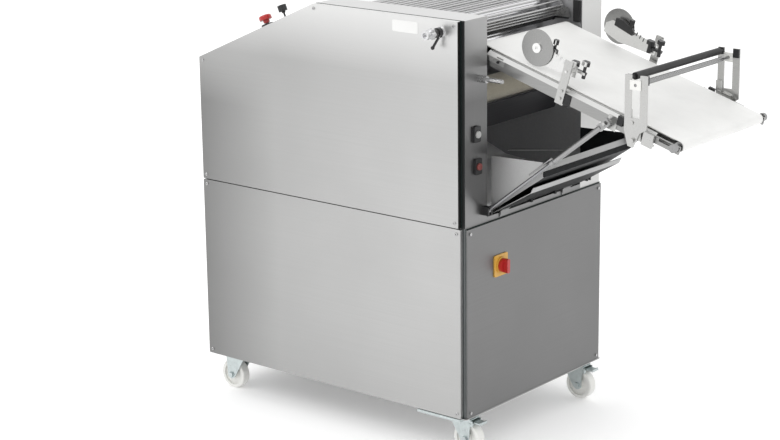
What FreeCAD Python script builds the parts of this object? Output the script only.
"""Bakery dough sheeter on casters: four sheeting rolls between two cheeks, and a sloping outfeed belt.

Lengths are millimetres. X points towards the outfeed end, Y across the machine, Z up.
The model is laid out with X = 0 at the front of the cheeks, Y = 0 half way between them and
Z = 0 on the floor. export() then moves it so that the origin lies on the floor under the
middle of the whole machine. "left" is the -Y side, which carries the controls.
"""
import FreeCAD
import Part
import math
import os

# ---- Driving dimensions ------------------------------------------------------------------
BODY_LENGTH = 1092.0        # cheeks and cabinet, front to rear
BODY_WIDTH = 735.0          # over the two cheeks
WORK_WIDTH = 512.0          # between the two side plates
FLOOR_GAP = 130.0           # floor to underside of the cabinet
CABINET_HEIGHT = 620.0
HEAD_HEIGHT = 643.0
SLOPE_START = 585.0         # the cheek tops slope down from here to the rear
SLOPE_DROP = 226.0
SHEET = 2.0                 # stainless sheet
SIDE_PLATE = 12.0           # machined plates that carry the rolls
COVER_DEPTH = 14.0          # folded side covers
GASKET = 2.5
TUBE = 30.0                 # square tube of the cabinet frame
TUBE_WALL = 2.0
DOOR_DEPTH = 6.0
DOOR_GASKET = 2.0

ROLL_RADIUS = 36.0
ROLL_GAP = 3.7
ROLL_HALF = 240.0           # half length of a roll face
ROLL_SHAFT = 15.0           # shaft radius
GEAR_TEETH = 24
GAP_TRAVEL = 6.0            # how far the adjustable roll opens

TILT = 16.6                 # slope of the outfeed belt, degrees
DRUM_X = -41.0
DRUM_Z = 1277.5
DRUM_RADIUS = 22.0
BELT = 3.0
BELT_HALF = 228.0
NOSE_ALONG = 734.0          # drum shaft to nose roller, along the belt
NOSE_RADIUS = 14.0
RAIL_OUTER = 248.0          # outer face of the conveyor rails
RAIL_START = -16.0          # ends of the rails, along the belt
RAIL_STOP = 660.0
RAIL_TOP = 19.0             # above the drum shaft, square to the belt
RAIL_BOTTOM = -24.0
RAIL_FLANGE = 18.0
RAIL_SHOULDER = 8.0         # where the rail folds in towards the belt

WHEEL_RADIUS = 50.0
WHEEL_WIDTH = 32.0
CASTER_OFFSET = 36.0        # swivel axis to wheel axle
FRONT_CASTER_X = -62.0
REAR_CASTER_X = -1000.0
CASTER_Y = 315.0
PEDAL_OUT = 20.0            # pedal pin, beyond the wheel axle
PEDAL_Z = 104.0

GUARD_X = -470.0            # hinge of the top guard
GUARD_Z = 1383.0
FELT_X = -112.0
FELT_Z = 1128.0
FELT_RADIUS = 42.0
KNOB_X = -80.0              # gap knob
KNOB_Z = 1354.0
TRAY_X = 6.0                # hinge of the catch tray
TRAY_Z = 776.0
STRUT_Y = 272.0
STRUT_BASE = (15.0, 790.0)
STRUT_ALONG = 508.0         # strut pin on the conveyor: along and above the drum shaft
STRUT_RISE = -10.0
STRUT_LAP = 205.0           # rod inside the tube
CUTTER_ALONG = 187.0        # disc axle: along the belt and above the drum shaft
CUTTER_RISE = 88.0
CUTTER_Y = 223.0            # middle plane of the blades
DISC_RADIUS = 57.0
PIVOT_ALONG = 322.0         # pivot of the disc arms
PIVOT_RISE = 72.0
UPRIGHT_X = 538.0           # middle of the slot of the press roller
UPRIGHT_REAR = 501.0
UPRIGHT_FRONT = 577.0
UPRIGHT_TOP = 1275.0
UPRIGHT_IN = 259.0          # inner face of the upright plates
UPRIGHT_OUT = 264.0
SLOT_HALF = 15.0
SLOT_BOTTOM = 1148.0
PRESS_Z = 1246.0
PRESS_RADIUS = 8.0
PRESS_HALF = 218.0
PRESS_JOURNAL = 5.0
HANDLE_X = 517.0            # black handle bar
HANDLE_Z = 1266.0
HANDLE_RADIUS = 11.0
HANDLE_HALF = 236.0

SWITCH_Y = -197.0           # main switch on the front door
SWITCH_Z = 598.0
SWITCH_PLATE = 35.0         # half width of its plate
BUTTONS = {"start": (-315.0, 1038.0), "stop": (-309.0, 936.0)}      # Y and Z
STUD_Y = -300.0
STUD_Z = 1208.0
CONTROL_Y = -318.0          # controls on the slope
ESTOP_AT = 276.0            # distance down the slope from its top
SPEED_AT = 191.0
GLAND_Y = -300.0            # cable gland on the rear door
GLAND_Z = 200.0
GLAND_BORE = 5.5
GLAND_REACH = 12.0

# ---- Values that follow from them ---------------------------------------------------------
HALF = BODY_WIDTH / 2
INNER = WORK_WIDTH / 2
PLATE_OUT = INNER + SIDE_PLATE
COVER_IN = HALF + GASKET
COVER_OUT = COVER_IN + COVER_DEPTH
DECK = FLOOR_GAP + CABINET_HEIGHT
TOP = DECK + HEAD_HEIGHT
REAR_TOP = TOP - SLOPE_DROP
REAR = -BODY_LENGTH
DOOR_FACE = DOOR_GASKET + DOOR_DEPTH
SLOPE_ANGLE = math.atan2(SLOPE_DROP, BODY_LENGTH - SLOPE_START)
NOSE_RISE = DRUM_RADIUS - NOSE_RADIUS
SCREW_HEAD = 3.3
KNOB_REACH = 75.0           # the gap knob stands this far out of the left cover
NOSE_X = DRUM_X + NOSE_ALONG * math.cos(math.radians(TILT)) + NOSE_RISE * math.sin(math.radians(TILT))
FRONT_END = NOSE_X + NOSE_RADIUS + BELT
REAR_END = REAR - DOOR_FACE
LEFT_END = -(COVER_OUT + KNOB_REACH)
RIGHT_END = COVER_OUT + SCREW_HEAD
ORIGIN = FreeCAD.Vector(-(FRONT_END + REAR_END - GLAND_REACH) / 2, -(LEFT_END + RIGHT_END) / 2, 0)

ROLLS = {                   # shaft places, X and Z
    "roll_rear_lower": (-346.0, 1290.0),
    "roll_rear_upper": (-290.0, 1341.0),
    "roll_front_lower": (-200.0, 1269.5),
    "roll_front_upper": (-164.0, 1336.0),
}
SCRAPERS = {                # direction of each scraper blade from its roll, X and Z
    "roll_rear_lower": (0.35, -1.0),
    "roll_front_lower": (-0.2, -1.0),
}
SIDES = {"left": -1, "right": 1}
CASTERS = {"front": (FRONT_CASTER_X, 1), "rear": (REAR_CASTER_X, -1)}   # X, and the way the wheel trails
PEDAL_X = FRONT_CASTER_X + CASTER_OFFSET + PEDAL_OUT


# ---- Helpers ------------------------------------------------------------------------------
def vec(x, y, z):
    return FreeCAD.Vector(x, y, z)


def box(x0, x1, y0, y1, z0, z1):
    return Part.makeBox(x1 - x0, y1 - y0, z1 - z0, vec(x0, y0, z0))


def sbox(side, x0, x1, y0, y1, z0, z1):
    """A box given for the right side, on either side of the machine."""
    low, high = sorted((side * y0, side * y1))
    return box(x0, x1, low, high, z0, z1)


def rod_y(x, z, radius, y0, y1):
    low, high = sorted((y0, y1))
    return Part.makeCylinder(radius, high - low, vec(x, low, z), vec(0, 1, 0))


def rod(start, end, radius):
    start = vec(*start)
    along = vec(*end) - start
    return Part.makeCylinder(radius, along.Length, start, along)


def prism(outline, y0, y1):
    """An X-Z outline made solid between two Y planes."""
    low, high = sorted((y0, y1))
    points = [vec(x, low, z) for x, z in outline]
    wire = Part.makePolygon(points + points[:1])
    return Part.Face(wire).extrude(vec(0, high - low, 0))


def fuse(first, *rest):
    return first.fuse(list(rest)).removeSplitter() if rest else first


def cut(shape, *tools):
    return shape.cut(list(tools)) if tools else shape


def group(solids):
    return Part.makeCompound(solids)


def inset(outline, distance):
    """Move each edge of a convex, anticlockwise X-Z outline inwards."""
    count = len(outline)
    lines = []
    for i in range(count):
        (xa, za), (xb, zb) = outline[i], outline[(i + 1) % count]
        length = math.hypot(xb - xa, zb - za)
        nx, nz = -(zb - za) / length, (xb - xa) / length
        lines.append((nx, nz, nx * (xa + nx * distance) + nz * (za + nz * distance)))
    result = []
    for i in range(count):
        (a, b, e), (c, d, f) = lines[i - 1], lines[i]
        det = a * d - b * c
        result.append(((e * d - b * f) / det, (a * f - e * c) / det))
    return result


def strip(points, thickness, y0, y1):
    """A folded sheet: an open X-Z line, thickened to its right-hand side."""
    directions = []
    for (xa, za), (xb, zb) in zip(points, points[1:]):
        length = math.hypot(xb - xa, zb - za)
        directions.append(((xb - xa) / length, (zb - za) / length))
    offset = []
    for i, (x, z) in enumerate(points):
        before = directions[max(i - 1, 0)]
        after = directions[min(i, len(directions) - 1)]
        nx, nz = before[1] + after[1], -(before[0] + after[0])
        scale = thickness / (nx * before[1] - nz * before[0])
        offset.append((x + nx * scale, z + nz * scale))
    return prism(points + offset[::-1], y0, y1)


def ring_y(x, z, outer, inner, y0, y1):
    low, high = sorted((y0, y1))
    return cut(rod_y(x, z, outer, low, high), rod_y(x, z, inner, low - 1, high + 1))


def hexagon(across, height):
    """A hexagon bar standing on the origin, along Z."""
    radius = across / math.sqrt(3)
    angles = [math.radians(60 * i) for i in range(6)]
    points = [vec(radius * math.cos(a), radius * math.sin(a), 0) for a in angles]
    return Part.Face(Part.makePolygon(points + points[:1])).extrude(vec(0, 0, height))


def hexagon_y(x, z, across, y0, y1):
    low, high = sorted((y0, y1))
    return place(hexagon(across, high - low), (x, low, z), (0, 1, 0))


def hexagon_x(x, y, z, across, length):
    return place(hexagon(across, length), (x, y, z), (1, 0, 0))


def knob_outline(radius, lobes, depth):
    """A lobed grip, as points round a circle."""
    steps = lobes * 8
    points = []
    for i in range(steps):
        angle = 2 * math.pi * i / steps
        reach = radius - depth * (1 - math.cos(lobes * angle)) / 2
        points.append((reach * math.cos(angle), reach * math.sin(angle)))
    return points


def lobed_knob(radius, height, lobes=5, depth=3.0):
    """A grip knob with its axis on Z and its foot at the origin."""
    points = [vec(x, y, 0) for x, y in knob_outline(radius, lobes, depth)]
    wire = Part.makePolygon(points + points[:1])
    return Part.Face(wire).extrude(vec(0, 0, height))


def place(shape, at, axis):
    """Turn a shape made along Z to lie along axis, and move it."""
    moved = shape.copy()
    moved.Placement = FreeCAD.Placement(vec(*at), FreeCAD.Rotation(vec(0, 0, 1), vec(*axis)))
    return moved


def on_belt(shape):
    """Place a shape made along the belt, with the drum shaft at X = 0 and Z = 0."""
    moved = shape.copy()
    turn = FreeCAD.Rotation(vec(0, 1, 0), TILT)
    moved.Placement = FreeCAD.Placement(vec(DRUM_X, 0, DRUM_Z), turn).multiply(moved.Placement)
    return moved


def on_slope(shape, distance, y):
    """Place a shape made along Z on the sloping top of a cheek."""
    moved = shape.copy()
    x = -SLOPE_START - distance * math.cos(SLOPE_ANGLE)
    z = TOP - distance * math.sin(SLOPE_ANGLE)
    turn = FreeCAD.Rotation(vec(0, 1, 0), -math.degrees(SLOPE_ANGLE))
    moved.Placement = FreeCAD.Placement(vec(x, y, z), turn)
    return moved


def export(name, shape):
    moved = shape.copy()
    moved.translate(ORIGIN)
    for solid in moved.Solids:
        if not solid.isValid():
            print("not valid:", name)
    moved.exportStep("parts/" + name + ".step")


# ---- Outlines of the body -----------------------------------------------------------------
CHEEK = [(REAR, DECK), (0, DECK), (0, TOP), (-SLOPE_START, TOP), (REAR, REAR_TOP)]
COVER_FRONT = -14.0         # the head covers stop short of the cheek fronts
LOWER_FRONT = -7.0
SEAM = 1.5
HEAD_COVER = [(REAR, DECK + SEAM), (COVER_FRONT, DECK + SEAM), (COVER_FRONT, TOP - 1),
              (-SLOPE_START - 1, TOP - 1), (REAR, REAR_TOP - 1)]
LOWER_COVER = [(REAR, FLOOR_GAP + 3), (LOWER_FRONT, FLOOR_GAP + 3),
               (LOWER_FRONT, DECK - SEAM), (REAR, DECK - SEAM)]
SCREW_INSET = 15.0


def cover_screw_places():
    """Where the cover screws sit: X, Z and side."""
    places = []
    for side in SIDES.values():
        for outline in (HEAD_COVER, LOWER_COVER):
            places += [(x, z, side) for x, z in inset(outline, SCREW_INSET)]
    return places


def door_screw_places():
    """Where the door screws sit: Y, Z and direction of the door."""
    reach = HALF - SCREW_INSET
    low, high = FLOOR_GAP + 3 + SCREW_INSET, DECK - 4 - SCREW_INSET
    return [(y, z, end) for end in (1, -1) for y in (-reach, reach) for z in (low, high)]


def shank(x, z, side, radius=3.0):
    return rod_y(x, z, radius, side * (HALF - 12), side * COVER_OUT)


def door_shank(y, z, end, radius=2.5):
    start = -8 if end > 0 else REAR + 8
    stop = DOOR_FACE if end > 0 else REAR_END
    return rod((start, y, z), (stop, y, z), radius)


SHANKS = [shank(*p) for p in cover_screw_places()]
DOOR_SHANKS = [door_shank(*p) for p in door_screw_places()]


# ---- Cabinet ------------------------------------------------------------------------------
def base_frame():
    """Welded square tube: four posts, two rectangles and the motor rail."""
    low, high = FLOOR_GAP + 3, DECK - SHEET
    runs = []
    for x in (REAR, -TUBE):
        for side in SIDES.values():
            runs.append((side, x, x + TUBE, HALF - TUBE, HALF, low, high))
    for z in (low, high - TUBE):
        for side in SIDES.values():
            runs.append((side, REAR, 0, HALF - TUBE, HALF, z, z + TUBE))
        for x in (REAR, -TUBE):
            runs.append((1, x, x + TUBE, -HALF, HALF, z, z + TUBE))
    for x in (-760.0, -520.0):
        runs.append((1, x, x + TUBE, -HALF, HALF, low, low + TUBE))
    outer = fuse(*[sbox(*r) for r in runs])
    wall = TUBE_WALL
    hollow = [sbox(s, x0 + wall, x1 - wall, y0 + wall, y1 - wall, z0 + wall, z1 - wall)
              for s, x0, x1, y0, y1, z0, z1 in runs]
    return cut(outer, fuse(*hollow), *SHANKS, *DOOR_SHANKS)


def base_pan():
    pan = box(REAR, 10, -HALF - 10, HALF + 10, FLOOR_GAP, FLOOR_GAP + 3)
    edges = [e for e in pan.Edges if e.BoundBox.ZLength > 1]
    bolts = [bolt for x, _ in CASTERS.values() for side in SIDES.values() for bolt in caster_bolts(x, side)]
    return cut(pan.makeFillet(8, edges), *bolts)


def folded_cover(outline, side):
    """A side cover: flat face and a hem all round it, turned towards the machine."""
    full = prism(outline, side * COVER_IN, side * COVER_OUT)
    face = side * (COVER_OUT - SHEET)
    hollow = prism(inset(outline, SHEET), side * (COVER_IN - 1), face)
    upright = [e for e in full.Edges if e.BoundBox.YLength > COVER_DEPTH - 1]
    return cut(full.makeFillet(4, upright), hollow, *SHANKS)


def door(end):
    """A screwed cabinet door with a hem, at the front (+1) or the rear (-1)."""
    z0, z1 = FLOOR_GAP + 3, DECK - 4
    if end > 0:
        full = box(DOOR_GASKET, DOOR_FACE, -HALF, HALF, z0, z1)
        hollow = box(DOOR_GASKET - 1, DOOR_FACE - SHEET, SHEET - HALF, HALF - SHEET, z0 + SHEET, z1 - SHEET)
        hole = box(0, 20, SWITCH_Y - 26, SWITCH_Y + 26, SWITCH_Z - 26, SWITCH_Z + 26)
        return cut(full, hollow, hole, *DOOR_SHANKS)
    full = box(REAR_END, REAR - DOOR_GASKET, -HALF, HALF, z0, z1)
    hollow = box(REAR_END + SHEET, REAR - DOOR_GASKET + 1, SHEET - HALF, HALF - SHEET, z0 + SHEET, z1 - SHEET)
    slots = [box(REAR_END - 1, REAR, y - 45, y + 45, z - 2.5, z + 2.5)
             for y in (-130, 130) for z in [220 + 22 * i for i in range(6)]]
    gland_hole = rod((REAR_END - 1, GLAND_Y, GLAND_Z), (REAR, GLAND_Y, GLAND_Z), 10.1)
    return cut(full, hollow, gland_hole, *slots, *DOOR_SHANKS)


def deck_plate():
    """Top of the cabinet, with the chain slot and the hinge knuckles of the tray."""
    plate = box(REAR, 0, -HALF, HALF, DECK - SHEET, DECK)
    chain_slot = box(-520, -330, 285, 335, DECK - 5, DECK + 5)
    lip = box(-SHEET, 0, -INNER, INNER, DECK, DECK + 14)
    knuckles = []
    for y in (-170, 170):
        leaf = box(0, 3, y - 22, y + 22, DECK + 1, DECK + 14)
        barrel = rod_y(TRAY_X, TRAY_Z, 5.5, y - 22, y + 22)
        web = box(0, 6, y - 22, y + 22, DECK + 8, TRAY_Z)
        knuckles += [fuse(leaf, barrel, web)]
    return cut(fuse(plate, lip, *knuckles), chain_slot, rod_y(TRAY_X, TRAY_Z, 2.6, -260, 260))


# ---- Head ---------------------------------------------------------------------------------
def bearing_places():
    """Fixed shafts through both side plates: X, Z and shaft radius."""
    fixed = [ROLLS[n] + (ROLL_SHAFT,) for n in ("roll_rear_lower", "roll_rear_upper", "roll_front_lower")]
    return fixed + [(DRUM_X, DRUM_Z, 10.0), (FELT_X, FELT_Z, 10.0)]


def side_plate(side):
    """Machined plate that carries the shafts on one side."""
    plate = prism(inset(CHEEK, SHEET), side * INNER, side * PLATE_OUT)
    bores = [rod_y(x, z, r + 1, -400, 400) for x, z, r in bearing_places()]
    x, z = ROLLS["roll_front_upper"]
    reach = ROLL_SHAFT + 1
    bores += [rod_y(x, z, reach, -400, 400), rod_y(x, z + GAP_TRAVEL, reach, -400, 400),
              box(x - reach, x + reach, -400, 400, z, z + GAP_TRAVEL)]
    bores.append(rod_y(GUARD_X, GUARD_Z, 5.2, -400, 400))
    return cut(plate, *bores)


def cheek_shell(side):
    """Sheet box round one cheek: front post, top, slope and rear, and a flange for the cover."""
    outer = prism(CHEEK, side * INNER, side * HALF)
    low = [(REAR + SHEET, DECK - 5), (-SHEET, DECK - 5)] + inset(CHEEK, SHEET)[2:]
    hollow = prism(low, side * (INNER - 1), side * (HALF - SHEET))
    flange = 22.0
    window = prism(inset(CHEEK, flange), side * (HALF - SHEET - 1), side * (HALF + 1))
    shell = cut(outer, hollow, window, *SHANKS)
    if side > 0:
        return shell
    holes = [rod((-10, y, z), (5, y, z), 11.5) for y, z in BUTTONS.values()]
    holes.append(rod((-10, STUD_Y, STUD_Z), (5, STUD_Y, STUD_Z), 8.0))
    holes += [on_slope(Part.makeCylinder(r, 12, vec(0, 0, -6)), d, y)
              for d, y, r in ((ESTOP_AT, CONTROL_Y, 11.5), (SPEED_AT, CONTROL_Y, 6.0))]
    return cut(shell, *holes)


def cover_gaskets():
    """Rubber seals behind the four side covers and the two doors."""
    seals = []
    for side in SIDES.values():
        for outline in (HEAD_COVER, LOWER_COVER):
            full = prism(outline, side * HALF, side * COVER_IN)
            seals.append(cut(full, prism(inset(outline, 9), side * (HALF - 1), side * (COVER_IN + 1))))
    z0, z1 = FLOOR_GAP + 3, DECK - 4
    for x0, x1 in ((0, DOOR_GASKET), (REAR - DOOR_GASKET, REAR)):
        full = box(x0, x1, -HALF, HALF, z0, z1 + 2)
        seals.append(cut(full, box(x0 - 1, x1 + 1, 9 - HALF, HALF - 9, z0 + 9, z1 - 9)))
    return group(seals)


def cover_screws():
    """Button-head screws of the covers and doors, and the threaded stop stud on the left post."""
    screws = []
    for x, z, side in cover_screw_places():
        head = rod_y(x, z, 5.5, side * COVER_OUT, side * (COVER_OUT + SCREW_HEAD))
        rim = [e for e in head.Edges if abs(abs(e.BoundBox.YMax) - COVER_OUT - SCREW_HEAD) < 0.1
               and abs(e.BoundBox.YMax - e.BoundBox.YMin) < 0.1]
        socket = hexagon_y(x, z, 4.0, side * (COVER_OUT + 1.3), side * (COVER_OUT + 5))
        screws.append(cut(fuse(head.makeChamfer(1.6, rim), shank(x, z, side)), socket))
    for y, z, end in door_screw_places():
        face = DOOR_FACE if end > 0 else REAR_END
        head = rod((face, y, z), (face + end * SCREW_HEAD, y, z), 5.0)
        screws.append(fuse(head, door_shank(y, z, end)))
    screws.append(stop_stud())
    return group(screws)


def stop_stud():
    """Stout stop stud standing forward out of the left post: collar, groove and shank."""
    start = -30
    pieces = []
    for stop, radius in ((0, 5.0), (33, 11.0), (40, 6.0), (88, 7.0), (92, 5.5)):
        pieces.append(rod((start, STUD_Y, STUD_Z), (stop, STUD_Y, STUD_Z), radius))
        start = stop
    pieces.append(hexagon_x(-10, STUD_Y, STUD_Z, 19, 8))
    return fuse(*pieces)


def rear_cover():
    """Sheet between the cheeks: up the rear, then along the slope to the infeed."""
    rise = 2.0
    lip_x = -606.0
    lip_z = TOP - (-SLOPE_START - lip_x) * math.tan(SLOPE_ANGLE) - rise
    line = [(REAR, DECK), (REAR, REAR_TOP), (lip_x, lip_z), (lip_x, lip_z - 12)]
    return strip(line, SHEET, 0.3 - INNER, INNER - 0.3)


def dough_chutes():
    """Sheets that lead the dough: infeed, transfer between the rolls, return and discharge."""
    width = INNER - 0.3
    infeed = strip([(-602, 1366), (-590, 1380), (-400, 1334), (-376, 1327)], SHEET, -width, width)
    transfer = strip([(-304, 1304), (-270, 1304), (-243, 1300)], SHEET, -width, width)
    apron = strip([(-66, 1096), (-72, 1090), (-104, 1010), (-128, 1004)], SHEET, -width, width)
    slide = strip([(-560, 1030), (-440, 880), (-300, 824), (-16, 800), (-16, 790)], SHEET, -width, width)
    ledges = [strip([(-284, 840), (-69, 870)], SHEET, side * (width - 12), side * width) for side in SIDES.values()]
    back = strip([(-566, 1240), (-566, 1036)], SHEET, -width, width)
    blades = []
    for name, (dx, dz) in SCRAPERS.items():
        x, z = ROLLS[name]
        length = math.hypot(dx, dz)
        ux, uz = dx / length, dz / length
        start = ROLL_RADIUS + 0.4
        blade = [(x + ux * start - uz * o, z + uz * start + ux * o) for o in (-1, 1)]
        blade += [(x + ux * (start + 24) - uz * o, z + uz * (start + 24) + ux * o) for o in (1, -1)]
        blades.append(prism(blade, -width, width))
    return group([infeed, transfer, apron, slide, back] + ledges + blades)


def bearings():
    """Flanged bearing housings outside the side plates, one for each fixed shaft end."""
    housings = []
    for x, z, radius in bearing_places():
        for side in SIDES.values():
            outer = radius + 11
            ring = rod_y(x, z, outer, side * PLATE_OUT, side * (PLATE_OUT + 16))
            collar = rod_y(x, z, radius + 5, side * (PLATE_OUT + 16), side * (PLATE_OUT + 19))
            bore = rod_y(x, z, radius + 0.06, side * (PLATE_OUT - 1), side * (PLATE_OUT + 30))
            housings.append(cut(fuse(ring, collar), bore))
    return group(housings)


def gear(x, z, side, phase):
    """Spur gear on a roll shaft in the left cheek."""
    pitch = (2 * ROLL_RADIUS + ROLL_GAP) / 2
    points = []
    step = 2 * math.pi / GEAR_TEETH
    for i in range(GEAR_TEETH):
        for share, radius in ((-0.32, -2.9), (-0.13, 2.4), (0.13, 2.4), (0.32, -2.9)):
            angle = phase + (i + share) * step
            points.append((x + (pitch + radius) * math.cos(angle), z + (pitch + radius) * math.sin(angle)))
    return prism(points, side * (PLATE_OUT + 34), side * (PLATE_OUT + 50))


def sheeting_roll(name):
    """One roll: hard-chromed face, stepped shaft and its gear."""
    x, z = ROLLS[name]
    pair = {"roll_rear_lower": "roll_rear_upper", "roll_front_lower": "roll_front_upper"}
    partner = {**pair, **{b: a for a, b in pair.items()}}[name]
    px, pz = ROLLS[partner]
    towards = math.atan2(pz - z, px - x)
    phase = towards if name in pair else towards + math.pi / GEAR_TEETH
    face = rod_y(x, z, ROLL_RADIUS, -ROLL_HALF, ROLL_HALF)
    shaft_left = PLATE_OUT + 52
    shaft_right = PLATE_OUT + 22
    shaft = rod_y(x, z, ROLL_SHAFT, -shaft_left, shaft_right)
    return fuse(face, shaft, gear(x, z, -1, phase))


def roll_carriage():
    """Two sliding blocks that carry the adjustable roll."""
    x, z = ROLLS["roll_front_upper"]
    parts = []
    for side in SIDES.values():
        block = sbox(side, x - 30, x + 30, PLATE_OUT + 0.3, PLATE_OUT + 20, z - 24, z + 24)
        bore = rod_y(x, z, ROLL_SHAFT + 0.06, side * (PLATE_OUT - 1), side * (PLATE_OUT + 30))
        parts.append(cut(block, bore))
    return group(parts)


def top_guard():
    """Hinged guard of cross rods: a flat part, a short slope, a hanging skirt and two side gussets."""
    reach = INNER - 8
    bar = 5.0
    bend_x = -98.0
    front_x, front_z = -72.0, 1350.0
    low_x, low_z = -106.0, 1304.0
    line = [(GUARD_X, GUARD_Z + 3), (bend_x, GUARD_Z + 3), (front_x, front_z), (low_x, low_z)]
    sides = []
    for side in SIDES.values():
        for (xa, za), (xb, zb) in zip(line, line[1:]):
            angle = math.atan2(zb - za, xb - xa)
            nx, nz = -math.sin(angle) * bar, math.cos(angle) * bar
            outline = [(xa - nx, za - nz), (xb - nx, zb - nz), (xb + nx, zb + nz), (xa + nx, za + nz)]
            sides.append(prism(outline, side * (reach - 4), side * reach))
        sides += [rod_y(x, z, bar, side * (reach - 4), side * reach) for x, z in line[1:]]
    rods = [(GUARD_X + 26 + 25.5 * i, GUARD_Z + 4) for i in range(14)]
    rods += [(bend_x + t * (front_x - bend_x), GUARD_Z + 3 + t * (front_z - GUARD_Z - 3)) for t in (0.2, 0.6, 1)]
    for share in (0.25, 0.5, 0.75, 1):
        rods.append((front_x + share * (low_x - front_x), front_z + share * (low_z - front_z)))
    bars = [rod_y(x, z, 3.0, -reach, reach) for x, z in rods]
    tube = rod_y(GUARD_X, GUARD_Z, 6, -reach, reach)
    pins = rod_y(GUARD_X, GUARD_Z, 5, -(PLATE_OUT + 4), PLATE_OUT + 4)
    drop_x, drop_z = low_x - front_x, low_z - front_z
    plates = []
    for first, last, half in ((0.0, 0.9, 0.8), (0.84, 1.09, 2.5)):
        corners = [(front_x + share * drop_x + way * half, front_z + share * drop_z)
                   for share, way in ((first, -1), (last, -1), (last, 1), (first, 1))]
        plates.append(prism(corners, -reach, reach))
    whole = fuse(*sides, *bars, *plates, tube, pins)
    flat = box(-600, bend_x, -400, 400, 1200, 1500)
    slope = box(bend_x, 0, -400, 400, front_z, 1500)
    skirt = box(bend_x - 40, 0, -400, 400, 1200, front_z)
    parts = whole.common(flat).cut(skirt).Solids + whole.common(slope).Solids + whole.common(skirt).Solids
    outline = [(-104, 1312), (-92, 1308), (-44, 1308), (-38, 1316), (-44, 1344), (-72, 1346)]
    for side in SIDES.values():
        parts += cut(prism(outline, side * (reach - 6), side * (reach - 4)), whole).Solids
    return group(parts)


def felt_roller():
    """Felt-covered delivery roller under the belt."""
    face = rod_y(FELT_X, FELT_Z, FELT_RADIUS, -238, 238)
    hub = rod_y(FELT_X, FELT_Z, 22, -246, 246)
    shaft = rod_y(FELT_X, FELT_Z, 10, -(PLATE_OUT + 22), PLATE_OUT + 22)
    return fuse(face, hub, shaft)


def drive_unit():
    """Gear motor on the cabinet floor, its sprocket, and the chain up to the lower front roll."""
    shaft_x, shaft_z = -640.0, 330.0
    gearbox = box(-730, -560, 60, 250, 163, 420)
    motor = rod((-645, 60, 300), (-645, -220, 300), 75.0)
    fins = [Part.makeTorus(76, 3, vec(-645, 20 - 30 * i, 300), vec(0, 1, 0)) for i in range(7)]
    fan = rod((-645, -220, 300), (-645, -262, 300), 70.0)
    terminal = box(-690, -600, -150, -50, 370, 415)
    output = rod_y(shaft_x, shaft_z, 15, 250, 330)
    sprocket = rod_y(shaft_x, shaft_z, 46, 305, 313)
    unit = fuse(gearbox, motor, fan, terminal, output, sprocket, *fins)
    top_x, top_z = ROLLS["roll_front_lower"][0] - 180, DECK + 120
    idler = fuse(rod_y(top_x, top_z, 46, 305, 313), rod_y(top_x, top_z, 12, PLATE_OUT, 330))
    angle = math.atan2(top_z - shaft_z, top_x - shaft_x)
    nx, nz = -math.sin(angle), math.cos(angle)
    outer, inner = 54.0, 46.3
    link = []
    for radius in (outer, inner):
        dx, dz = nx * radius, nz * radius
        corners = [(shaft_x + dx, shaft_z + dz), (shaft_x - dx, shaft_z - dz),
                   (top_x - dx, top_z - dz), (top_x + dx, top_z + dz)]
        span = prism(corners, 303, 315)
        ends = [rod_y(x, z, radius, 303, 315) for x, z in ((shaft_x, shaft_z), (top_x, top_z))]
        link.append(fuse(span, *ends))
    return group([unit, idler, cut(link[0], link[1])])


# ---- Controls -----------------------------------------------------------------------------
def switch_plate():
    """Main switch: square plate on the door with its body behind."""
    plate = box(DOOR_FACE, DOOR_FACE + 4, SWITCH_Y - SWITCH_PLATE, SWITCH_Y + SWITCH_PLATE,
                SWITCH_Z - SWITCH_PLATE, SWITCH_Z + SWITCH_PLATE)
    edges = [e for e in plate.Edges if e.BoundBox.XLength > 3]
    body = box(-52, DOOR_FACE, SWITCH_Y - 24, SWITCH_Y + 24, SWITCH_Z - 24, SWITCH_Z + 24)
    collar = rod((DOOR_FACE + 4, SWITCH_Y, SWITCH_Z), (DOOR_FACE + 8, SWITCH_Y, SWITCH_Z), 27.0)
    bore = rod((DOOR_FACE - 20, SWITCH_Y, SWITCH_Z), (DOOR_FACE + 10, SWITCH_Y, SWITCH_Z), 6.05)
    return cut(fuse(plate.makeFillet(6, edges), body, collar), bore)


def switch_handle():
    """Rotary handle with a grip bar across it."""
    x = DOOR_FACE + 8.3
    disc = rod((x, SWITCH_Y, SWITCH_Z), (x + 9, SWITCH_Y, SWITCH_Z), 22.0)
    grip = box(x + 9, x + 25, SWITCH_Y - 7, SWITCH_Y + 7, SWITCH_Z - 23, SWITCH_Z + 23)
    spindle = rod((x - 22, SWITCH_Y, SWITCH_Z), (x, SWITCH_Y, SWITCH_Z), 6.0)
    edges = [e for e in grip.Edges if e.BoundBox.XLength > 10]
    return fuse(disc, grip.makeFillet(5, edges), spindle)


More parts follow.
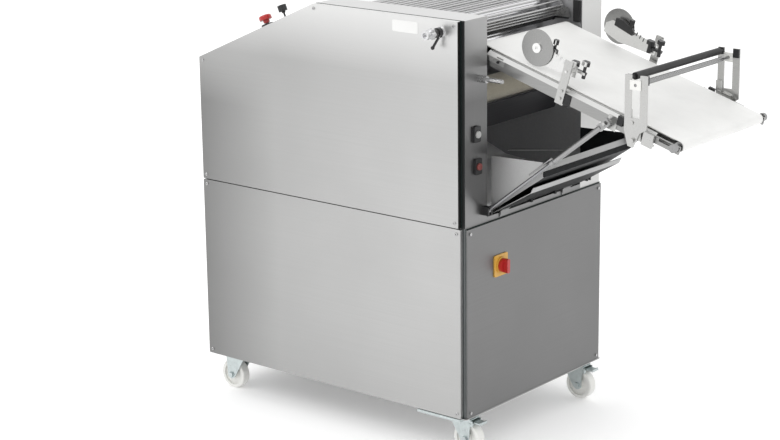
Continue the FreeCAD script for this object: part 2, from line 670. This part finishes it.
def button_boxes():
    """Black bezels and contact blocks of the two push buttons, and the bases on the slope."""
    parts = []
    for y, z in BUTTONS.values():
        bezel = box(0, 9, y - 16, y + 16, z - 25, z + 25)
        edges = [e for e in bezel.Edges if e.BoundBox.XLength > 8]
        block = rod((-46, y, z), (0, y, z), 11.3)
        recess = rod((2, y, z), (20, y, z), 11.3)
        bore = rod((-30, y, z), (5, y, z), 4.06)
        parts.append(cut(fuse(bezel.makeFillet(5, edges), block), recess, bore))
    collar = Part.makeCylinder(21, 12)
    stem = Part.makeCylinder(11.3, 44, vec(0, 0, -44))
    bore = Part.makeCylinder(7.06, 60, vec(0, 0, -30))
    parts.append(on_slope(cut(fuse(collar, stem), bore), ESTOP_AT, CONTROL_Y))
    skirt = Part.makeCone(15, 12, 5)
    pot = fuse(Part.makeCylinder(5.9, 4, vec(0, 0, -4)), Part.makeCylinder(13, 22, vec(0, 0, -26)))
    hole = Part.makeCylinder(3.06, 60, vec(0, 0, -20))
    parts.append(on_slope(cut(fuse(skirt, pot), hole), SPEED_AT, CONTROL_Y))
    return group(parts)


def push_button(name):
    y, z = BUTTONS[name]
    cap = rod((6.2, y, z), (15, y, z), 11.0)
    rim = [e for e in cap.Edges if e.BoundBox.XMin > 14]
    stem = rod((-18, y, z), (6.2, y, z), 4.0)
    return fuse(cap.makeFillet(2, rim), stem)


def estop_button():
    """Mushroom head and its stem."""
    neck = Part.makeCylinder(11, 10, vec(0, 0, 16.4))
    head = Part.makeCylinder(21, 16, vec(0, 0, 26))
    rim = [e for e in head.Edges if e.BoundBox.ZMin > 41]
    stem = Part.makeCylinder(7, 38, vec(0, 0, -20))
    return on_slope(fuse(neck, head.makeFillet(7, rim), stem), ESTOP_AT, CONTROL_Y)


def speed_knob():
    grip = place(lobed_knob(15, 20, 12, 1.2), (0, 0, 28), (0, 0, 1))
    spindle = Part.makeCylinder(3, 46, vec(0, 0, -18))
    collar = Part.makeCylinder(6, 6, vec(0, 0, 22))
    return on_slope(fuse(grip, spindle, collar), SPEED_AT, CONTROL_Y)


def knob_bush():
    """Flanged bush of the gap knob on the left cover."""
    flange = rod_y(KNOB_X, KNOB_Z, 17, -COVER_OUT, -(COVER_OUT + 6))
    barrel = rod_y(KNOB_X, KNOB_Z, 12, -(PLATE_OUT + 54), -(COVER_OUT + 19))
    bore = rod_y(KNOB_X, KNOB_Z, 8.06, -(PLATE_OUT + 40), -(COVER_OUT + 30))
    return group([cut(fuse(flange, barrel), bore)])


def gap_knob():
    """Hand knob with a polished ring, on the spindle that sets the roll gap."""
    end = COVER_OUT + KNOB_REACH
    spindle = rod_y(KNOB_X, KNOB_Z, 8, -(PLATE_OUT + 42), -(end - 20))
    neck = rod_y(KNOB_X, KNOB_Z, 12, -(COVER_OUT + 19.6), -(COVER_OUT + 40))
    grip = place(lobed_knob(18, 20, 6, 3.5), (KNOB_X, -(COVER_OUT + 38), KNOB_Z), (0, -1, 0))
    ring = ring_y(KNOB_X, KNOB_Z, 14, 8.5, -(end - 17), -end)
    core = rod_y(KNOB_X, KNOB_Z, 8.5, -(end - 20), -(end - 9))
    return fuse(spindle, neck, grip, ring, core)


def clamp_lever():
    """Locking ring round the bush, with a short lever down from it."""
    ring = ring_y(KNOB_X, KNOB_Z, 15, 12.06, -(COVER_OUT + 6.3), -(COVER_OUT + 18.8))
    tip = (KNOB_X - 8, -(COVER_OUT + 27), KNOB_Z - 45)
    arm = rod((KNOB_X + 4, -(COVER_OUT + 13), KNOB_Z - 14), tip, 4)
    return fuse(ring, arm, Part.makeSphere(6, vec(*tip)))


def cable_gland():
    """Mains inlet on the rear door: a hexagon gland with an open bore."""
    outer = REAR_END - GLAND_REACH
    body = rod((REAR_END, GLAND_Y, GLAND_Z), (REAR_END + 22, GLAND_Y, GLAND_Z), 10.0)
    cap = hexagon_x(outer, GLAND_Y, GLAND_Z, 27, GLAND_REACH)
    nut = hexagon_x(REAR_END + SHEET, GLAND_Y, GLAND_Z, 27, 5)
    bore = rod((outer - 5, GLAND_Y, GLAND_Z), (REAR_END + 40, GLAND_Y, GLAND_Z), GLAND_BORE)
    return cut(fuse(body, cap, nut), bore)


# ---- Conveyor -----------------------------------------------------------------------------
def conveyor_frame():
    """Two channel rails, slider bed, cross members and the take-up arms of the nose roller."""
    start, stop = RAIL_START, RAIL_STOP
    parts = []
    for side in SIDES.values():
        web = prism([(start, RAIL_BOTTOM), (stop, RAIL_BOTTOM), (stop, RAIL_SHOULDER), (start + 50, RAIL_SHOULDER),
                     (start + 40, RAIL_TOP), (start, RAIL_TOP)], side * (RAIL_OUTER - SHEET), side * RAIL_OUTER)
        inner = RAIL_OUTER - RAIL_FLANGE
        flanges = [sbox(side, start + 50, stop, inner, RAIL_OUTER, RAIL_BOTTOM, RAIL_BOTTOM + SHEET),
                   sloped_flange(side, start + 50, stop, inner)]
        lug = sbox(side, start, start + 40, RAIL_OUTER - 8, RAIL_OUTER - SHEET, -18, RAIL_TOP - SHEET)
        arm = sbox(side, stop - 50, NOSE_ALONG + 14, RAIL_OUTER - 9, RAIL_OUTER - SHEET, -9, NOSE_RISE + 6)
        slot = sbox(side, stop + 16, NOSE_ALONG + 5.06, RAIL_OUTER - 12, RAIL_OUTER + 1,
                    NOSE_RISE - 5.06, NOSE_RISE + 5.06)
        bore = rod_y(0, 0, 10.06, side * (RAIL_OUTER - 12), side * (RAIL_OUTER + 1))
        parts.append(cut(fuse(web, lug, arm, *flanges), slot, bore))
    top = DRUM_RADIUS - 0.6
    bed = box(24, NOSE_ALONG - 18, -BELT_HALF, BELT_HALF, top - 1.5, top)
    bed_lips = [sbox(side, 40, stop - 50, BELT_HALF - 2, BELT_HALF + 7, RAIL_TOP - 7, top - 1.5)
                for side in SIDES.values()]
    ties = [box(x, x + 24, SHEET - RAIL_OUTER, RAIL_OUTER - SHEET, -6, RAIL_TOP - 6) for x in (70, 320, 580)]
    return on_belt(fuse(parts[0], parts[1], bed, *bed_lips, *ties))


def sloped_flange(side, x0, x1, inner):
    """Top of a rail: folded in from the shoulder, up to the edge of the belt."""
    points = [(RAIL_OUTER, RAIL_SHOULDER - 1), (RAIL_OUTER, RAIL_SHOULDER), (inner + 4, RAIL_TOP), (inner, RAIL_TOP),
              (inner, RAIL_TOP - SHEET), (inner + 3.4, RAIL_TOP - SHEET), (RAIL_OUTER - SHEET, RAIL_SHOULDER - 1)]
    corners = [vec(x0, side * y, z) for y, z in points]
    return Part.Face(Part.makePolygon(corners + corners[:1])).extrude(vec(x1 - x0, 0, 0))


def belt_loop(outer_extra):
    """Outline solid round the drum and nose roller, grown by outer_extra."""
    r_drum, r_nose = DRUM_RADIUS + outer_extra, NOSE_RADIUS + outer_extra
    reach = math.hypot(NOSE_ALONG, NOSE_RISE)
    base = math.atan2(NOSE_RISE, NOSE_ALONG)
    spread = math.acos((r_drum - r_nose) / reach)
    corners = []
    for sign, order in ((1, ((0, 0, r_drum), (NOSE_ALONG, NOSE_RISE, r_nose))),
                        (-1, ((NOSE_ALONG, NOSE_RISE, r_nose), (0, 0, r_drum)))):
        angle = base + sign * spread
        corners += [(x + r * math.cos(angle), z + r * math.sin(angle)) for x, z, r in order]
    span = prism(corners, -BELT_HALF, BELT_HALF)
    drum_end = rod_y(0, 0, r_drum, -BELT_HALF, BELT_HALF)
    nose_end = rod_y(NOSE_ALONG, NOSE_RISE, r_nose, -BELT_HALF, BELT_HALF)
    return span.fuse([drum_end, nose_end])


def conveyor_belt():
    return on_belt(cut(belt_loop(BELT), belt_loop(0.3)))


def drive_drum():
    """Drum at the top of the belt, which is also the hinge of the conveyor."""
    drum = rod_y(DRUM_X, DRUM_Z, DRUM_RADIUS, -BELT_HALF - 2, BELT_HALF + 2)
    shaft = rod_y(DRUM_X, DRUM_Z, 10, -(PLATE_OUT + 22), PLATE_OUT + 22)
    return fuse(drum, shaft)


def nose_roller():
    axle = rod_y(NOSE_ALONG, NOSE_RISE, 5, -262, 262)
    tube = rod_y(NOSE_ALONG, NOSE_RISE, NOSE_RADIUS, -BELT_HALF - 2, BELT_HALF + 2)
    caps = [rod_y(NOSE_ALONG, NOSE_RISE, 13, side * (RAIL_OUTER + 1), side * 262) for side in SIDES.values()]
    return on_belt(fuse(axle, tube, *caps))


def conveyor_brackets():
    """Plates and lugs on the outer faces of the rails, from the drum end to the nose."""
    parts = []
    outer = RAIL_OUTER
    for side in SIDES.values():
        start_plate = sbox(side, 22, 104, outer, outer + 2.5, -8, RAIL_SHOULDER)
        x0, x1 = PIVOT_ALONG - 13, PIVOT_ALONG + 15
        post = cut(sbox(side, x0, x1, outer, outer + 5, RAIL_BOTTOM - 8, PIVOT_RISE + 34),
                   rod_y(PIVOT_ALONG, PIVOT_RISE, 4.06, side * outer - 9, side * outer + 9))
        bolts = [rod_y(PIVOT_ALONG + 2, z, 5, side * (outer + 5), side * (outer + 9)) for z in (-14, 10)]
        pin = rod_y(STRUT_ALONG, STRUT_RISE, 5, side * outer, side * (STRUT_Y + 14))
        lug = sbox(side, STRUT_ALONG - 10, STRUT_ALONG + 24, outer, outer + 2.4, -32, 12)
        parts += [on_belt(start_plate), on_belt(fuse(post, *bolts)), on_belt(fuse(lug, pin)), upright(side)]
    return group(parts)


def upright(side):
    """Upright plate with an open slot, on spacers, narrowed to a foot, and the take-up clamp beside it."""
    rear, front = UPRIGHT_REAR, UPRIGHT_FRONT
    outline = [(rear, UPRIGHT_TOP), (rear, 1150), (rear - 1, 1110), (rear + 12, 1064), (rear + 30, 1060),
               (rear + 52, 1104), (front, 1118), (front, UPRIGHT_TOP)]
    plate = prism(outline, side * UPRIGHT_IN, side * UPRIGHT_OUT)
    slot = sbox(side, UPRIGHT_X - SLOT_HALF, UPRIGHT_X + SLOT_HALF, UPRIGHT_IN - 1, UPRIGHT_OUT + 1,
                SLOT_BOTTOM, UPRIGHT_TOP + 10)
    spacer = prism([(rear + 6, 1092), (rear + 54, 1080), (rear + 54, 1128), (rear + 6, 1142)],
                   side * RAIL_OUTER, side * UPRIGHT_IN)
    guide = sbox(side, rear, rear + 20, UPRIGHT_IN - 8, UPRIGHT_IN, 1128, 1172)
    screw = rod_y(rear + 26, 1134, 6, side * UPRIGHT_OUT, side * (UPRIGHT_OUT + 3))
    bolt = rod_y(rear + 29, 1082, 7, side * UPRIGHT_OUT, side * (UPRIGHT_OUT + 7))
    clamp = on_belt(sbox(side, 628, 664, RAIL_OUTER, RAIL_OUTER + 10, -26, RAIL_TOP - 4))
    return fuse(cut(plate, slot), spacer, guide, screw, bolt, clamp)


def handle_bar():
    """Thick bar with thin ends between the rear legs of the uprights."""
    grip = rod_y(HANDLE_X, HANDLE_Z, HANDLE_RADIUS, -HANDLE_HALF, HANDLE_HALF)
    ends = [rod_y(HANDLE_X, HANDLE_Z, 5, side * HANDLE_HALF, side * UPRIGHT_IN) for side in SIDES.values()]
    lugs = [sbox(side, HANDLE_X - 12, HANDLE_X + 2, UPRIGHT_IN - 5, UPRIGHT_IN, HANDLE_Z - 12, UPRIGHT_TOP)
            for side in SIDES.values()]
    return fuse(grip, *ends, *lugs)


def bar_and_blocks():
    """Black parts of the conveyor: handle bar, stop blocks, rail blocks and bolts."""
    parts = [handle_bar()]
    for side in SIDES.values():
        parts.append(sbox(side, UPRIGHT_FRONT - 20, UPRIGHT_FRONT, UPRIGHT_IN - 7, UPRIGHT_IN,
                          UPRIGHT_TOP - 27, UPRIGHT_TOP))
        parts.append(on_belt(sbox(side, 534, 554, RAIL_OUTER, RAIL_OUTER + 11, -4, 24)))
        parts.append(on_belt(sbox(side, PIVOT_ALONG + 16, PIVOT_ALONG + 38, RAIL_OUTER, RAIL_OUTER + 3, -28, 7)))
        parts.append(on_belt(rod_y(82, 0, 4.5, side * (RAIL_OUTER + 2.5), side * (RAIL_OUTER + 5.5))))
    return group(parts)


def pressing_roller():
    """Steel roller that rides on the dough, turning in the slot blocks."""
    face = rod_y(UPRIGHT_X, PRESS_Z, PRESS_RADIUS, -PRESS_HALF, PRESS_HALF)
    journal = rod_y(UPRIGHT_X, PRESS_Z, PRESS_JOURNAL, -(UPRIGHT_OUT + 1), UPRIGHT_OUT + 1)
    return fuse(face, journal)


def slot_blocks():
    """Nylon blocks that slide in the uprights and carry the press roller."""
    blocks = []
    for side in SIDES.values():
        half = SLOT_HALF - 0.3
        body = sbox(side, UPRIGHT_X - half, UPRIGHT_X + half, UPRIGHT_IN - 0.5, UPRIGHT_OUT + 0.5,
                    PRESS_Z - 14, PRESS_Z + 14)
        lip = sbox(side, UPRIGHT_X - half - 4, UPRIGHT_X + half + 4, UPRIGHT_OUT + 0.5, UPRIGHT_OUT + 2.5,
                   PRESS_Z - 14, PRESS_Z + 14)
        bore = rod_y(UPRIGHT_X, PRESS_Z, PRESS_JOURNAL + 0.06, side * 200, side * 300)
        blocks.append(cut(fuse(body, lip), bore))
    return group(blocks)


def cutter_arm(side):
    """Swinging arm: broad plate, hub cover and knobs on its inner face, pivot into the rail post."""
    outer = CUTTER_Y - 4
    inner = outer - 3
    y0, y1 = side * inner, side * outer
    ax, az = CUTTER_ALONG, CUTTER_RISE
    bx, bz = PIVOT_ALONG, PIVOT_RISE
    plate = prism([(ax - 46, az - 34), (ax + 14, az - 46), (bx + 14, bz - 20), (bx + 14, bz + 16),
                   (ax + 75, az + 4), (ax + 14, az + 14), (ax - 26, az + 12), (ax - 46, az - 4)], y0, y1)
    axle = rod_y(ax, az, 5, y0, side * (CUTTER_Y + 4))
    pivot = rod_y(bx, bz, 4, y0, side * (RAIL_OUTER + 8))
    spacer = rod_y(bx, bz, 9, y1, side * (RAIL_OUTER - 0.4))
    screws = [rod((ax + 71 + 14 * i, side * (inner + 1.5), az - 2 - 4 * i),
                  (ax + 73 + 14 * i, side * (inner + 1.5), az + 10 - 4 * i), 2.5) for i in range(3)]
    cover = prism([(ax - 8, az + 28), (ax + 14, az + 30), (ax + 62, az + 14), (ax + 62, az - 4), (ax - 8, az + 4)],
                  side * (inner - 12), y0)
    middle = side * (inner - 8)
    top_knob = place(lobed_knob(9, 14, 5, 2), (ax + 50, middle, az + 30), (0, 0, 1))
    top_stem = rod((ax + 50, middle, az + 6), (ax + 50, middle, az + 32), 4)
    knob = place(lobed_knob(14, 13, 5, 2.5), (bx - 2, middle, bz + 12), (0, 0, 1))
    stem = rod((bx - 2, middle, bz - 16), (bx - 2, middle, bz + 14), 7)
    clamp = sbox(side, bx + 8, bx + 42, inner - 12, inner, bz - 2, bz + 6)
    end_stem = rod((bx + 33, middle, bz), (bx + 33, middle, bz + 28), 5)
    end_knob = place(lobed_knob(13, 13, 5, 2.5), (bx + 33, middle, bz + 26), (0, 0, 1))
    rail_foot = rod((bx + 36, middle, bz - 14), (bx + 36, middle, bz + 2), 6)
    shape = fuse(plate, axle, pivot, spacer, *screws, cover, top_knob, top_stem, knob, stem, clamp,
                 end_stem, end_knob, rail_foot)
    return on_belt(shape)


def cutter_disc(side):
    """Round blade with a hub, running on the arm's axle."""
    at = (CUTTER_ALONG, CUTTER_RISE)
    blade = rod_y(*at, DISC_RADIUS, side * (CUTTER_Y - 1), side * (CUTTER_Y + 1))
    bevel = [e for e in blade.Edges if e.BoundBox.YLength < 0.1]
    hub = rod_y(*at, 15, side * (CUTTER_Y - 3.5), side * (CUTTER_Y + 6))
    bore = rod_y(*at, 5.05, side * (CUTTER_Y - 9), side * (CUTTER_Y + 9))
    return on_belt(cut(fuse(blade.makeChamfer(0.7, bevel), hub), bore))


def strut_pin():
    """Strut pin on the conveyor, in machine coordinates: X and Z."""
    turn = math.radians(TILT)
    x = DRUM_X + STRUT_ALONG * math.cos(turn) + STRUT_RISE * math.sin(turn)
    z = DRUM_Z - STRUT_ALONG * math.sin(turn) + STRUT_RISE * math.cos(turn)
    return x, z


def strut_place(shape, side):
    """Place a strut part made along +X from the base pin."""
    x, z = strut_pin()
    angle = math.degrees(math.atan2(z - STRUT_BASE[1], x - STRUT_BASE[0]))
    moved = shape.copy()
    turn = FreeCAD.Rotation(vec(0, 1, 0), -angle)
    moved.Placement = FreeCAD.Placement(vec(STRUT_BASE[0], side * STRUT_Y, STRUT_BASE[1]), turn)
    return moved


def strut_length():
    x, z = strut_pin()
    return math.hypot(x - STRUT_BASE[0], z - STRUT_BASE[1])


def strut_rod(side):
    """Lower, thin part of the strut, with its eye on the base pin."""
    length = strut_length() - 240 + STRUT_LAP
    body = rod((0, 0, 0), (length, 0, 0), 5.0)
    eye = rod_y(0, 0, 9, -5, 5)
    return strut_place(cut(fuse(body, eye), rod_y(0, 0, 4.05, -10, 10)), side)


def strut_tube(side):
    """Upper tube of the strut, its catch rod and the slotted clevis for the conveyor pin."""
    total = strut_length()
    start = total - 240
    tube = rod((start, 0, 0), (total - 22, 0, 0), 8.0)
    bore = rod((start - 10, 0, 0), (start + STRUT_LAP + 8, 0, 0), 5.08)
    collar = rod((start - 4, 0, 0), (start + 10, 0, 0), 9.5)
    catch = rod((start - 96, 0, 12.5), (start + 8, 0, 12.5), 2.5)
    bridge = box(start - 2, start + 8, -3, 3, 6, 13)
    end = box(total - 30, total + 14, -5, 5, -11, 11)
    slot = fuse(rod_y(total - 3, 0, 6.2, -10, 10), rod_y(total + 4, 0, 6.2, -10, 10),
                box(total - 3, total + 4, -10, 10, -6.2, 6.2))
    return strut_place(cut(fuse(tube, collar, catch, bridge, end), bore, slot), side)


def post_strips():
    """Black guide strips for the guard, on the inner faces of the posts."""
    return group([sbox(side, -32, -4, INNER - 5, INNER, 1300, 1370) for side in SIDES.values()])


def strut_brackets():
    """Black lugs on the front posts for the strut base pins."""
    x, z = STRUT_BASE
    lugs = []
    for side in SIDES.values():
        cheeks = [sbox(side, 0, x + 10, STRUT_Y + o, STRUT_Y + o + 5, z - 14, z + 12) for o in (-10.5, 5.5)]
        back = sbox(side, 0, 3, STRUT_Y - 10.5, STRUT_Y + 10.5, z - 14, z + 12)
        pin = rod_y(x, z, 4, side * (STRUT_Y - 12), side * (STRUT_Y + 12))
        lugs.append(fuse(back, pin, *cheeks))
    return group(lugs)


def lower_tray():
    """Hinged catch tray: rising floor, three-cornered sides and rubber edges."""
    width = INNER - 12
    angle = math.radians(34.5)
    ux, uz = math.cos(angle), math.sin(angle)
    reach = 236.0
    tip = (TRAY_X + reach * ux, TRAY_Z + reach * uz)
    lift = 8.0
    start = (TRAY_X + 2, TRAY_Z + lift)
    floor = strip([start, (tip[0], tip[1] + lift), (tip[0] - 22, tip[1] + lift + 27)], SHEET, -width, width)
    parts = [floor]
    for side in SIDES.values():
        wall = prism([start, (tip[0], tip[1] + lift), (tip[0] - 2, TRAY_Z + 188), (TRAY_X + 2, TRAY_Z + 182)],
                     side * (width - SHEET), side * width)
        parts.append(wall)
    hem = strip([(TRAY_X + 8, TRAY_Z + 2), (TRAY_X + 150, TRAY_Z + 86), (TRAY_X + 160, TRAY_Z + 104)],
                SHEET, -width, width)
    ribs = [sbox(side, TRAY_X + 6, TRAY_X + 30, 60, 70, TRAY_Z + 1, TRAY_Z + 14) for side in SIDES.values()]
    barrel = [rod_y(TRAY_X, TRAY_Z, 5.5, y - 16, y + 16) for y in (-120, 120)]
    webs = [box(TRAY_X - 3, TRAY_X + 12, y - 16, y + 16, TRAY_Z, TRAY_Z + 12) for y in (-120, 120)]
    pin = rod_y(TRAY_X, TRAY_Z, 2.5, -192, 192)
    return fuse(*parts, hem, *ribs, *barrel, *webs, pin)


# ---- Casters ------------------------------------------------------------------------------
def caster_bolts(x, side):
    """The four bolts that hold one caster plate under the cabinet."""
    bolts = []
    for dx in (-40, 40):
        for dy in (-30, 30):
            foot = vec(x + dx, side * CASTER_Y + dy, FLOOR_GAP - 8)
            bolts.append(Part.makeCylinder(3, 11, foot))
    return bolts


def fork(end, y, top):
    """Pressed steel fork round a wheel."""
    x, trail = CASTERS[end]
    wheel_x = x + trail * CASTER_OFFSET
    low, high = sorted((x - trail * 26, wheel_x + trail * 22))
    crown = box(low, high, y - 24, y + 24, top - 4, top)
    outline = [(wheel_x - 15, 42), (wheel_x + 15, 42), (high, top - 4), (high, top), (low, top)]
    legs = []
    for way in (-1, 1):
        y0, y1 = y + way * 20, y + way * 24
        legs.append(fuse(prism(outline, y0, y1), rod_y(wheel_x, WHEEL_RADIUS, 15, y0, y1)))
    axle = rod_y(wheel_x, WHEEL_RADIUS, 6, y - 27, y + 27)
    nuts = [hexagon_y(wheel_x, WHEEL_RADIUS, 17, y + way * 24, y + way * 30) for way in (-1, 1)]
    return fuse(crown, *legs, axle, *nuts)


def caster_mounts():
    """Top plates, swivel heads, bolts and the fixed rear forks."""
    parts = []
    plate_z = FLOOR_GAP - 4
    for end, (x, _) in CASTERS.items():
        for side in SIDES.values():
            y = side * CASTER_Y
            plate = box(x - 52, x + 52, y - 42, y + 42, plate_z, FLOOR_GAP)
            bolts = caster_bolts(x, side)
            if end == "front":
                head = Part.makeCylinder(27, 7, vec(x, y, plate_z - 7))
                bore = Part.makeCylinder(6.06, 30, vec(x, y, plate_z - 20))
                edge = sbox(side, x - 118, x + 52, CASTER_Y + 42, COVER_OUT, FLOOR_GAP - 9, FLOOR_GAP)
                parts.append(cut(fuse(plate, head, edge), bore, *bolts))
            else:
                parts.append(cut(fuse(plate, fork(end, y, plate_z)), *bolts))
            parts += bolts
    return group(parts)


def caster_fork(side):
    """Swivel fork of a front caster, with its king pin."""
    y = side * CASTER_Y
    top = FLOOR_GAP - 11.4
    pin = Part.makeCylinder(6, 14, vec(FRONT_CASTER_X, y, top - 4))
    lugs = [box(PEDAL_X - 8, PEDAL_X + 10, y + way * 22 - 2, y + way * 22 + 2, PEDAL_Z - 8, PEDAL_Z + 10)
            for way in (-1, 1)]
    bore = rod_y(PEDAL_X, PEDAL_Z, 3.06, y - 40, y + 40)
    return cut(fuse(fork("front", y, top), pin, *lugs), bore)


def brake_pedal(side):
    """Foot brake of a front caster: a rocking pad on a cross pin in front of the wheel."""
    y = side * CASTER_Y
    pin = rod_y(PEDAL_X, PEDAL_Z, 3, y - 26, y + 26)
    body = box(PEDAL_X - 4, PEDAL_X + 34, y - 17, y + 17, PEDAL_Z + 2, PEDAL_Z + 6)
    ears = [box(PEDAL_X - 4, PEDAL_X + 8, y + way * 15 - 2, y + way * 15 + 2, PEDAL_Z - 5, PEDAL_Z + 4)
            for way in (-1, 1)]
    lip = box(PEDAL_X + 34, PEDAL_X + 38, y - 17, y + 17, PEDAL_Z + 1, PEDAL_Z + 9)
    return fuse(pin, body, lip, *ears)


def wheel(end, y):
    """Nylon wheel with a crowned tread, dished sides and a hub."""
    x, trail = CASTERS[end]
    wheel_x = x + trail * CASTER_OFFSET
    half = WHEEL_WIDTH / 2
    body = rod_y(wheel_x, WHEEL_RADIUS, WHEEL_RADIUS, y - half, y + half)
    rims = [e for e in body.Edges if e.BoundBox.YLength < 0.1]
    body = body.makeFillet(4, rims)
    dishes = []
    for way in (-1, 1):
        y0, y1 = y + way * (half - 7), y + way * (half + 1)
        dishes.append(ring_y(wheel_x, WHEEL_RADIUS, 38, 17, y0, y1))
    hub = rod_y(wheel_x, WHEEL_RADIUS, 15, y - 19, y + 19)
    return cut(fuse(cut(body, *dishes), hub), rod_y(wheel_x, WHEEL_RADIUS, 6.08, y - 40, y + 40))


# ---- All nodes ----------------------------------------------------------------------------
def all_nodes():
    yield "base_frame", base_frame()
    yield "base_pan", base_pan()
    yield "lower_covers", group([folded_cover(LOWER_COVER, side) for side in SIDES.values()])
    yield "front_door", door(1)
    yield "rear_door", door(-1)
    yield "deck_plate", deck_plate()
    for name, side in SIDES.items():
        yield "side_plate_" + name, side_plate(side)
        yield "cheek_shell_" + name, cheek_shell(side)
    cover_left = folded_cover(HEAD_COVER, -1)
    yield "head_cover_left", cut(cover_left, rod_y(KNOB_X, KNOB_Z, 12.1, -900, 0))
    yield "head_cover_right", folded_cover(HEAD_COVER, 1)
    yield "cover_gaskets", cover_gaskets()
    yield "cover_screws", cover_screws()
    yield "rear_cover", rear_cover()
    yield "dough_chutes", dough_chutes()
    yield "bearings", group(bearings().Solids + knob_bush().Solids)
    yield "drive_unit", drive_unit()
    yield "switch_plate", switch_plate()
    yield "switch_handle", switch_handle()
    black = (button_boxes(), strut_brackets(), post_strips(), cable_gland())
    yield "black_fittings", group([solid for shape in black for solid in shape.Solids])
    for name in BUTTONS:
        yield name + "_button", push_button(name)
    yield "estop_button", estop_button()
    yield "speed_knob", speed_knob()
    yield "gap_knob", gap_knob()
    yield "clamp_lever", clamp_lever()
    for name in ROLLS:
        yield name, sheeting_roll(name)
    yield "roll_carriage", roll_carriage()
    yield "felt_roller", felt_roller()
    yield "top_guard", top_guard()
    yield "conveyor_frame", conveyor_frame()
    yield "conveyor_belt", conveyor_belt()
    yield "conveyor_brackets", conveyor_brackets()
    yield "bar_and_blocks", bar_and_blocks()
    yield "drive_drum", drive_drum()
    yield "nose_roller", nose_roller()
    yield "pressing_roller", pressing_roller()
    yield "slot_blocks", slot_blocks()
    for name, side in SIDES.items():
        yield "cutter_arm_" + name, cutter_arm(side)
        yield "cutter_disc_" + name, cutter_disc(side)
        yield "strut_rod_" + name, strut_rod(side)
        yield "strut_tube_" + name, strut_tube(side)
    yield "lower_tray", lower_tray()
    yield "caster_mounts", caster_mounts()
    for name, side in SIDES.items():
        for end in CASTERS:
            yield "wheel_" + end + "_" + name, wheel(end, side * CASTER_Y)
        yield "caster_fork_" + name, caster_fork(side)
        yield "brake_pedal_" + name, brake_pedal(side)


os.makedirs("parts", exist_ok=True)
for node_name, node_shape in all_nodes():
    export(node_name, node_shape)
